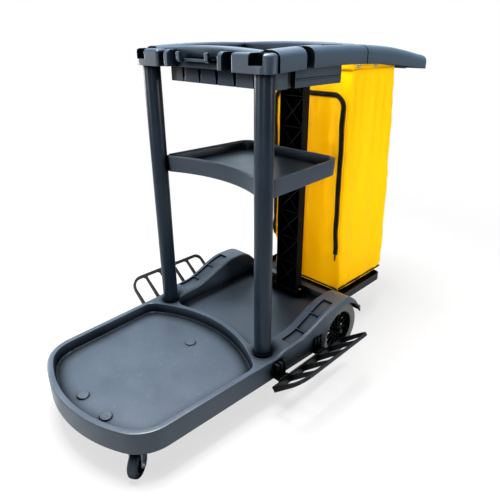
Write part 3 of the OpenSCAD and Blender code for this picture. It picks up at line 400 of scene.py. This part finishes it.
# moulded rubber, blue-black: dull, with a wide soft sheen
tread_rubber = moulding_material("caster_tread_rubber", "#1c232d", rubbed="#3d4651", roughness=0.5,
                                 gloss=0.3, grain_mm=1.5, edge_mm=1.2, dust_and_top_light=0)
for side in ("left", "right"):
    joined_copy("caster_plate_" + side, "swivel_plate_" + side, zinc_plate)
    joined_copy("caster_fork_" + side, "fork_" + side, zinc_plate)
    joined_copy("caster_axle_" + side, "fork_axle_" + side, zinc_plate)
    joined_copy("caster_hub_" + side, "hub_" + side, hub_nylon)
    joined_copy("caster_tread_" + side, "tread_" + side, tread_rubber)
joined_copy("caster_bolts", "swivel_plate_bolts", zinc_plate)

# --- Side racks -------------------------------------------------------------------------------
# A black moulded grid on each side, for mops and tools. It hinges on a steel rod between lugs on
# the platform's skirt.

# yellow-passivated zinc, a brassy grey drawn dim: painted shade, for the shadow the rod lies in
shaded_brassy_plate = plated_material("shaded_yellow_zinc_plate", "#3a3324", "#5c523a")
for side in ("left", "right"):
    joined_copy("mop_rack_" + side, "rack_" + side, black_polypropylene)
    joined_copy("hinge_rod_" + side, "rack_rod_" + side, shaded_brassy_plate)
joined_copy("rack_brackets", "rack_lugs", black_polypropylene)

# --- Bag tray and hooks -----------------------------------------------------------------------
# The black tray below the bag stands on two arms. Six bent wires under the handle hold the bag.
joined_copy("bag_tray", "tray_below_bag", black_polypropylene)
joined_copy("tray_brackets", "tray_arms", black_polypropylene)
joined_copy("bag_hooks", "hooks", zinc_plate)

# --- Bag --------------------------------------------------------------------------------------
# A sewn bag of vinyl-coated polyester that hangs by its eyelets and stands open. It is cut a
# little larger than the space it hangs in, so its walls buckle softly towards the bottom.
bag_low, bag_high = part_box("vinyl_bag")
MOUTH_WIDTH = 0.324
MOUTH_LENGTH = 0.254
CORNER = 0.009
CELL = 0.0085
bag_front = bag_low.y
bag_height = bag_high.z - bag_low.z


def vinyl_material():
    """Vinyl-coated cloth: saturated yellow, softly glossy, with the weave just showing through."""
    material = empty_material("yellow_vinyl_cloth")
    tree = material.node_tree
    weave_place = add(tree, "ShaderNodeUVMap", uv_map="cut").outputs[0]
    place = add(tree, "ShaderNodeTexCoord").outputs["Object"]
    tone = add(tree, "ShaderNodeTexNoise", {"Vector": place, "Scale": 6, "Detail": 4}).outputs["Fac"]
    colour = add(tree, "ShaderNodeMix", {"Factor": tone, "A": linear("#ffd400"),
                                         "B": linear("#ffdd00")}, data_type="RGBA")
    # threads every 1.6 mm: the real cloth has one every 0.5 mm, too fine to show
    thread_spacing = 0.0016
    threads = []
    for turn in (0, math.pi / 2):
        turned = add(tree, "ShaderNodeMapping",
                     {"Vector": weave_place, "Rotation": (0, 0, turn)}).outputs[0]
        threads.append(add(tree, "ShaderNodeTexWave",
                           {"Vector": turned, "Scale": 1 / thread_spacing / 20 * math.pi},
                           bands_direction="X").outputs["Fac"])
    weave = add(tree, "ShaderNodeMath", {0: threads[0], 1: threads[1]}, operation="ADD").outputs[0]
    bump = add(tree, "ShaderNodeBump", {"Height": weave, "Strength": 0.12, "Distance": 0.0003}).outputs[0]
    coated = add(tree, "ShaderNodeBsdfPrincipled", {"Base Color": colour.outputs["Result"],
                 "Roughness": 0.55, "IOR": 1.5, "Specular IOR Level": 0.08, "Normal": bump}).outputs[0]
    through = add(tree, "ShaderNodeBsdfTranslucent", {"Color": linear("#ffe200"),
                                                      "Normal": bump}).outputs[0]
    cloth = add(tree, "ShaderNodeMixShader", {0: 0.4, 1: coated, 2: through}).outputs[0]
    add(tree, "ShaderNodeOutputMaterial", {"Surface": cloth})
    return material


yellow_vinyl = vinyl_material()

# the walls and bottom as one grid, open at the mouth
cloth = bmesh.new()
bmesh.ops.create_cube(cloth, size=1)
lid = max(cloth.faces, key=lambda f: f.calc_center_median().z)
bmesh.ops.delete(cloth, geom=[lid], context="FACES_ONLY")
bmesh.ops.scale(cloth, verts=cloth.verts, vec=(MOUTH_WIDTH, MOUTH_LENGTH, bag_height))
bmesh.ops.translate(cloth, verts=cloth.verts,
                    vec=(0, bag_front + MOUTH_LENGTH / 2, bag_low.z + bag_height / 2))
uprights = [e for e in cloth.edges if abs(e.verts[0].co.z - e.verts[1].co.z) > 0.1]
bmesh.ops.bevel(cloth, geom=uprights, offset=CORNER, segments=2, profile=0.5, affect="EDGES",
                material=-1)
for axis, low, high in ((0, -MOUTH_WIDTH / 2, MOUTH_WIDTH / 2),
                        (1, bag_front, bag_front + MOUTH_LENGTH), (2, bag_low.z, bag_high.z)):
    cuts = round((high - low) / CELL)
    for i in range(1, cuts):
        spot, along = [0, 0, 0], [0, 0, 0]
        spot[axis], along[axis] = low + (high - low) * i / cuts, 1
        bmesh.ops.bisect_plane(cloth, geom=cloth.verts[:] + cloth.edges[:] + cloth.faces[:],
                               plane_co=spot, plane_no=along, dist=1e-4)
bmesh.ops.remove_doubles(cloth, verts=cloth.verts, dist=0.002)
cut = cloth.loops.layers.uv.new("cut")
for face in cloth.faces:
    steep = max(range(3), key=lambda k: abs(face.normal[k]))
    across = {0: (1, 2), 1: (0, 2), 2: (0, 1)}[steep]
    for loop in face.loops:
        loop[cut].uv = [loop.vert.co[k] for k in across]


# how far the left wall is pulled in at the mouth, and how much further at the bottom
PULLED_HIGH = 0.016
PULLED_LOW = 0.026
# how far the walls stand out, and how deep each kind of fold goes
BULGE = 0.006
UPRIGHT_FOLDS = 0.010
SLANTING_FOLDS = 0.013
SMALL_FOLDS = 0.004


def leftness(x):
    """How far to the left of the middle a point lies, 1 at the mouth's left edge."""
    return max(0, -x / (MOUTH_WIDTH / 2))


def hang(point):
    """Where a point of the plain box goes before it hangs: flared, and pulled in at the left."""
    drop = (bag_high.z - point.z) / bag_height
    x, y = point.x, point.y
    x *= 1 + drop * (bag_high.x * 2 / MOUTH_WIDTH - 1)
    x += leftness(x) * (PULLED_HIGH + PULLED_LOW * drop)
    y = bag_front + (y - bag_front) * (1 + drop * ((bag_high.y - bag_front) / MOUTH_LENGTH - 1))
    # the walls stand out between the mouth and the bottom, half as far at the front
    bulge = math.sin(math.pi * min(1, drop * 1.05)) * BULGE
    centre_y = (bag_front + bag_high.y) / 2
    x += math.copysign(bulge, x) * min(1, abs(x) / 0.12)
    y += bulge * max(-0.5, min(1, (y - centre_y) / 0.10))
    # Long soft folds hang from the hooks, and slanting ones form where the cloth gathers low down.
    # The numbers by x, y and z are about how many folds fit in a metre.
    z = point.z
    upright = noise.noise(Vector((x * 16 + 3, y * 16, z * 2.2))) * UPRIGHT_FOLDS * (1 - drop)
    slanting = noise.noise(Vector((x * 9 + z * 9, y * 9 - z * 6, z * 4))) * SLANTING_FOLDS * drop
    small = noise.noise(Vector((x * 30 + z * 12, y * 30, z * 22))) * SMALL_FOLDS
    # no fold at the hooks, and small ones at the sewn bottom
    loose = min(1, drop * 8) * min(1, (1 - drop) * 5 + 0.2)
    fold = (upright + slanting + small) * loose
    return Vector((x + fold, y + fold * 1.2, z))


for vertex in cloth.verts:
    vertex.co = hang(vertex.co)
bag_mesh = bpy.data.meshes.new("bag")
cloth.to_mesh(bag_mesh)
cloth.free()
bag_mesh.materials.append(yellow_vinyl)
bag = bpy.data.objects.new("bag", bag_mesh)
bpy.context.collection.objects.link(bag)

# the hooks hold the hem, and the bound seam and the bag's load nearly hold the bottom
HEM_HELD = 0.03
BOTTOM_HOLD = 0.75
LONGEST_MOVE = 0.016
STEPS = 30
before = np.array([v.co for v in bag_mesh.vertices])
held = bag.vertex_groups.new(name="held")
for vertex in bag_mesh.vertices:
    below = bag_high.z - vertex.co.z
    above = vertex.co.z - bag_low.z
    weight = 1.0 if below < HEM_HELD else 0.0
    if above < CELL / 2:
        weight = BOTTOM_HOLD
    if weight:
        held.add([vertex.index], weight, "REPLACE")
hanging = bag.modifiers.new("hanging", "CLOTH")
hanging.settings.quality = 7
hanging.settings.mass = 0.25
hanging.settings.tension_stiffness = 30
hanging.settings.compression_stiffness = 12
hanging.settings.shear_stiffness = 8
hanging.settings.bending_stiffness = 4
hanging.settings.vertex_group_mass = "held"
hanging.settings.shrink_min = -0.012
hanging.settings.use_pressure = True
hanging.settings.uniform_pressure_force = 0.25
hanging.collision_settings.use_collision = False
hanging.point_cache.frame_end = STEPS
for step in range(1, STEPS + 1):
    bpy.context.scene.frame_set(step)
settled = bag.evaluated_get(bpy.context.evaluated_depsgraph_get()).to_mesh()
after = np.array([v.co for v in settled.vertices])
bag.modifiers.remove(hanging)
bpy.context.scene.frame_set(1)
move = after - before
size = np.linalg.norm(move, axis=1, keepdims=True)
move *= LONGEST_MOVE * np.tanh(size / LONGEST_MOVE) / np.maximum(size, 1e-9)
bag_mesh.vertices.foreach_set("co", (before + move).astype(np.float32).ravel())
bag_mesh.update()
for face in bag_mesh.polygons:
    face.use_smooth = True
finer = bag.modifiers.new("finer", "SUBSURF")
finer.levels = finer.render_levels = 1
CLOTH = 0.0008
thick = bag.modifiers.new("cloth thickness", "SOLIDIFY")
thick.thickness = CLOTH
thick.offset = -1
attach(bag, "cart")
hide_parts("vinyl_bag")

# --- Bag hem, binding and eyelets -------------------------------------------------------------
# A doubled hem, stitched twice, stiffens the mouth. Plated eyelets are pressed through it for the
# hooks, and black tape binds the seam round the bottom.
surface_of_bag = BVHTree.FromObject(bag, bpy.context.evaluated_depsgraph_get())


def on_bag(x, y, z, outward, lift):
    """The point of the bag's wall met from outside, lifted off it a little."""
    reach = 0.08
    outward = Vector(outward)
    start = Vector((x, y, z)) + outward * reach
    hit = surface_of_bag.ray_cast(start, -outward, reach * 2)[0] or Vector((x, y, z))
    return hit + outward * lift


# the route round the bag keeps just inside the corners, and its way out turns through them
INSIDE = 0.985
CORNER_STARTS = 0.93


def ring_route(share, drop):
    """A point on the bag's outline, its share of the way round, at a height, and the way out."""
    half_x = (MOUTH_WIDTH / 2) * (1 - drop) + bag_high.x * drop
    rear = (bag_front + MOUTH_LENGTH) * (1 - drop) + bag_high.y * drop
    middle = Vector((0, (bag_front + rear) / 2))
    sides = (half_x * 2, rear - bag_front)
    walk = share % 1 * 2 * sum(sides)
    for k, out in enumerate(((0, -1), (1, 0), (0, 1), (-1, 0))):
        length = sides[k % 2]
        if walk <= length:
            along = walk / length * 2 - 1
            side = {0: (along, -1), 1: (1, along), 2: (-along, 1), 3: (-1, -along)}[k]
            spot = middle + Vector((side[0] * half_x * INSIDE, side[1] * sides[1] / 2 * INSIDE))
            spot.x += leftness(spot.x) * (PULLED_HIGH + PULLED_LOW * drop)
            lean = max(0, abs(along) - CORNER_STARTS) / (1 - CORNER_STARTS) * 0.5
            turn = Vector(((1, 0), (0, 1), (-1, 0), (0, -1))[k]) * math.copysign(lean, along)
            outward = (Vector(out) + turn).normalized()
            return spot, outward
        walk -= length
    return None


def finished(name, shell, material):
    """A new piece from a bmesh, smooth-shaded, riding on the cart."""
    for face in shell.faces:
        face.smooth = True
    mesh = bpy.data.meshes.new(name)
    shell.to_mesh(mesh)
    shell.free()
    mesh.materials.append(material)
    piece = bpy.data.objects.new(name, mesh)
    bpy.context.collection.objects.link(piece)
    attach(piece, "cart")
    return piece


def thickened(piece, thickness):
    """Gives a strip of tape its thickness, inwards from the face that shows."""
    wall = piece.modifiers.new("tape thickness", "SOLIDIFY")
    wall.thickness = thickness
    wall.offset = -1
    return piece


def band_round_bag(name, top, bottom, thickness, lift, material):
    """A strip of tape that follows the bag all the way round between two heights."""
    strip = bmesh.new()
    # 320 steps of about 4 mm follow every fold
    bmesh.ops.create_grid(strip, x_segments=320, y_segments=3, size=0.5)
    for vertex in strip.verts:
        z = bottom + (top - bottom) * (vertex.co.y + 0.5)
        spot, outward = ring_route(vertex.co.x + 0.5, (bag_high.z - z) / bag_height)
        vertex.co = on_bag(spot.x, spot.y, z, (outward.x, outward.y, 0), lift)
    bmesh.ops.remove_doubles(strip, verts=strip.verts, dist=0.0002)
    bmesh.ops.recalc_face_normals(strip, faces=strip.faces)
    return thickened(finished(name, strip, material), thickness)


def thread_material(name, colour):
    """Polyester thread or woven tape: twisted yarn, nearly without shine."""
    material = empty_material(name)
    tree = material.node_tree
    place = add(tree, "ShaderNodeTexCoord").outputs["Object"]
    twist = add(tree, "ShaderNodeTexNoise", {"Vector": place, "Scale": 1200}).outputs["Fac"]
    bump = add(tree, "ShaderNodeBump", {"Height": twist, "Strength": 0.4, "Distance": 0.0002}).outputs[0]
    thread = add(tree, "ShaderNodeBsdfPrincipled",
                 {"Base Color": linear(colour), "Roughness": 0.8, "Specular IOR Level": 0.15,
                  "Normal": bump}).outputs[0]
    add(tree, "ShaderNodeOutputMaterial", {"Surface": thread})
    return material


# sewing thread is 0.3 mm thick, drawn 1 mm here with stitches of about 2 mm, so that it shows
THREAD = 0.0005


def stitch_row(shell, spots):
    """One short thread between every second pair of neighbouring points."""
    for start, end in zip(spots[::2], spots[1::2]):
        way = end - start
        turn = way.to_track_quat("Z", "Y").to_matrix().to_4x4()
        bmesh.ops.create_cone(shell, cap_ends=True, segments=5, radius1=THREAD, radius2=THREAD,
                              depth=way.length, matrix=Matrix.Translation((start + end) / 2) @ turn)


HEM = 0.026
band_round_bag("bag_hem", top=bag_high.z - 0.001, bottom=bag_high.z - HEM, thickness=CLOTH,
               lift=0.001, material=yellow_vinyl)
# woven polyester tape: nearly black, and it takes the light only as a dull nap
black_tape = thread_material("black_bias_tape", "#030303")
band_round_bag("bag_binding", top=bag_low.z + 0.006, bottom=bag_low.z + 0.0005,
               thickness=0.0008, lift=0.0006, material=black_tape)
# spun polyester thread a shade deeper than the vinyl, so the seams read as fine dashed lines
amber_thread = thread_material("amber_thread", "#b8820c")
STITCH_POINTS = 620
stitches = bmesh.new()
for height in (bag_high.z - HEM + 0.003, bag_high.z - 0.004):
    spots = []
    for i in range(STITCH_POINTS):
        spot, outward = ring_route(i / STITCH_POINTS, (bag_high.z - height) / bag_height)
        spots.append(on_bag(spot.x, spot.y, height, (outward.x, outward.y, 0), 0.002))
    stitch_row(stitches, spots)
finished("hem_stitches", stitches, amber_thread)

# three eyelets a side, one over each hook, each a rolled ring round its hole
EYELET_HOLE = 0.0045
EYELET_ROLL = 0.0018
EYELET_DROP = 0.012
EYELET_Y = (0.3615, 0.4585, 0.5515)
eyelets = bmesh.new()
for side in (-1, 1):
    for y in EYELET_Y:
        flange = bmesh.new()
        spot = on_bag(side * 0.16, y, bag_high.z - EYELET_DROP, (side, 0, 0), 0.0012)
        bmesh.ops.create_circle(flange, segments=10, radius=EYELET_ROLL,
                                matrix=Matrix.Translation((0, EYELET_HOLE + EYELET_ROLL, 0)))
        bmesh.ops.spin(flange, geom=flange.edges[:], cent=(0, 0, 0), axis=(1, 0, 0), steps=28,
                       angle=math.tau, use_merge=True)
        bmesh.ops.translate(flange, verts=flange.verts, vec=spot)
        bmesh.ops.recalc_face_normals(flange, faces=flange.faces)
        part = bpy.data.meshes.new("flange")
        flange.to_mesh(part)
        flange.free()
        eyelets.from_mesh(part)
        bpy.data.meshes.remove(part)
finished("eyelets", eyelets, zinc_plate)

# --- Zip --------------------------------------------------------------------------------------
# A black coil zip sewn in as an arch on the front wall. Undone, the flap drops so that a full
# sack lifts out. The pull rides on the right leg.
zip_low, zip_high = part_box("bag_zip")
ZIP_TAPE = 0.018
ZIP_CORNER = 0.036
ZIP_LEAN = 0.010
ZIP_WAVE = 0.0025
COIL_PITCH = 0.003
leg_x = zip_high.x - ZIP_TAPE / 2
leg = zip_high.z - ZIP_TAPE / 2 - ZIP_CORNER - zip_low.z
run = 2 * (leg_x - ZIP_CORNER)
arc = ZIP_CORNER * math.pi / 2
zip_length = 2 * leg + 2 * arc + run


def zip_route(walk, aside):
    """A point at a distance along the arch, shifted to one side of its centre line."""
    mirror = 1
    if walk > zip_length / 2:
        walk, mirror = zip_length - walk, -1
    if walk < leg:
        x, z = -leg_x - aside, zip_low.z + walk
    elif walk < leg + arc:
        turn = (walk - leg) / ZIP_CORNER
        x = -leg_x + ZIP_CORNER - (ZIP_CORNER + aside) * math.cos(turn)
        z = zip_low.z + leg + (ZIP_CORNER + aside) * math.sin(turn)
    else:
        x, z = -leg_x + ZIP_CORNER + walk - leg - arc, zip_low.z + leg + ZIP_CORNER + aside
    # the legs stand closer together at the top, and hand sewing leaves them a little wavy
    x += ZIP_LEAN * (z - zip_low.z) / (zip_high.z - zip_low.z) * min(1, -x / leg_x)
    x += ZIP_WAVE * noise.noise(Vector((mirror * 5, 0, z * 14)))
    x *= mirror
    x += leftness(x) * PULLED_LOW * (bag_high.z - z) / bag_height
    return on_bag(x, bag_front, z, (0, -1, 0), 0.0006)


tape = bmesh.new()
# 260 steps of about 5 mm run along the arch
bmesh.ops.create_grid(tape, x_segments=4, y_segments=260, size=0.5)
for vertex in tape.verts:
    vertex.co = zip_route((vertex.co.y + 0.5) * zip_length, vertex.co.x * ZIP_TAPE)
bmesh.ops.recalc_face_normals(tape, faces=tape.faces)
zip_tape = thickened(finished("zip_tape", tape, black_tape), thickness=0.0009)
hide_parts("bag_zip")

# drawn nylon monofilament: black, and each turn of the coil catches a small highlight
coil_nylon = moulding_material("zip_coil_nylon", "#050506", rubbed="#1c1c1e", roughness=0.4,
                               gloss=0.2, grain_mm=0.8, edge_mm=0.4, dust_and_top_light=0)
coil = bmesh.new()
# a turn every 3 mm: the real coil has one every 1.5 mm, too fine to show
turns = round(zip_length / COIL_PITCH)
coil_turn = Matrix.Diagonal((0.0046, 0.0012, 0.0018, 1))
for i in range(turns):
    left, right = (zip_route(zip_length * (i + 0.5) / turns, a) for a in (-0.002, 0.002))
    across = (right - left).normalized()
    turn = Vector((1, 0, 0)).rotation_difference(across).to_matrix().to_4x4()
    place = Matrix.Translation((left + right) / 2 + Vector((0, -0.0009, 0)))
    bmesh.ops.create_cube(coil, size=1, matrix=place @ turn @ coil_turn)
finished("zip_coil", coil, coil_nylon)

# a row of stitches along each edge of the tape, and one in the cloth 6 mm outside it
ZIP_STITCH_POINTS = 700
on_the_tape = Vector((0, -0.0012, 0))
seam = bmesh.new()
for aside in (-0.5 * ZIP_TAPE + 0.0015, 0.5 * ZIP_TAPE - 0.0015, 0.5 * ZIP_TAPE + 0.006):
    spots = []
    for i in range(ZIP_STITCH_POINTS):
        spots.append(zip_route(zip_length * i / ZIP_STITCH_POINTS, aside) + on_the_tape)
    stitch_row(seam, spots)
finished("zip_stitches", seam, amber_thread)
zip_pull = joined_copy("zip_slider", "zip_pull", black_polypropylene)
# the filled-out cloth stands this far forward of the flat wall that the pull was drawn on
CLOTH_FORWARD = 0.0042
for vertex in zip_pull.data.vertices:
    vertex.co.y -= CLOTH_FORWARD

low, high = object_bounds()
